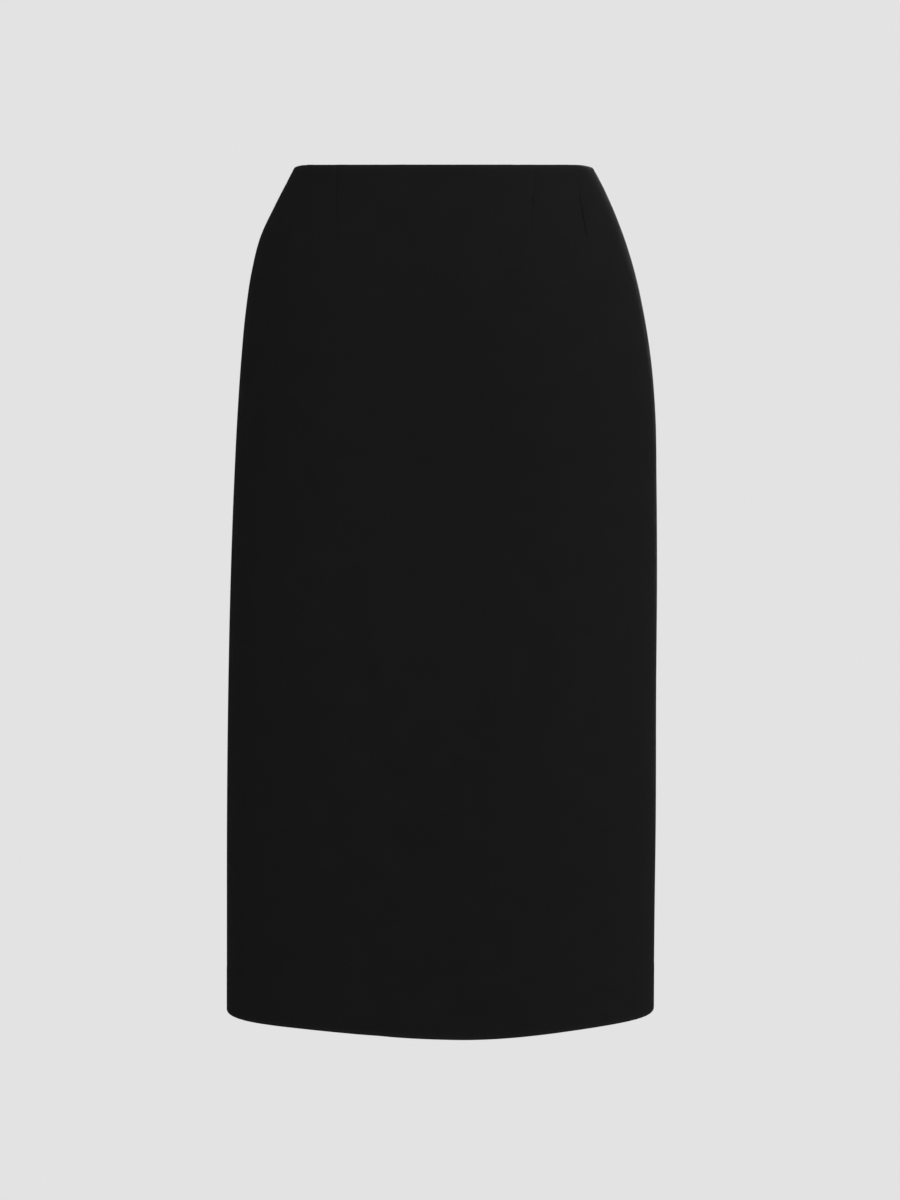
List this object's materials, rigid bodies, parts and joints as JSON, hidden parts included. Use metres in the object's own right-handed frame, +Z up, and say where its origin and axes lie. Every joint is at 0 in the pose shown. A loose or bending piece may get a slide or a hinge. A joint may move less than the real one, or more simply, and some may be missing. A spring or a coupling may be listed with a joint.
{
  "type": "pencil skirt",
  "caption": "Hollow worn pencil skirt, darted at the waist and open at waist and hem, with a closed back zip and a back walking vent.",
  "frame": {"origin": "middle of the waist opening, at the height of its upper edge, where the wearer's waist holds the skirt", "axes": "+Z up along the skirt's length, -Y out of the centre front, +X to the wearer's left"},
  "size_m": [0.374, 0.2566, 0.734],
  "materials": {
    "cloth": "black suiting crepe, matt",
    "zip_tape": "black woven tape",
    "zip_nylon": "black nylon coil",
    "zip_metal": "black enamelled zinc"
  },
  "bodies": {
    "skirt": {"front_panel": "cloth", "back_left_panel": "cloth", "back_right_panel": "cloth", "zip_tape_left": "zip_tape", "zip_tape_right": "zip_tape", "zip_chain": "zip_nylon", "zip_stop": "zip_metal", "zip_slider": "zip_metal"},
    "pull": {"zip_pull": "zip_metal"}
  },
  "joints": [
    {"name": "pull_swing", "type": "hinge", "parent": "skirt", "child": "pull", "pos_m": [0, 0.10075, -0.00966], "axis": [1, 0, 0], "range_deg": [0, 160]}
  ]
}
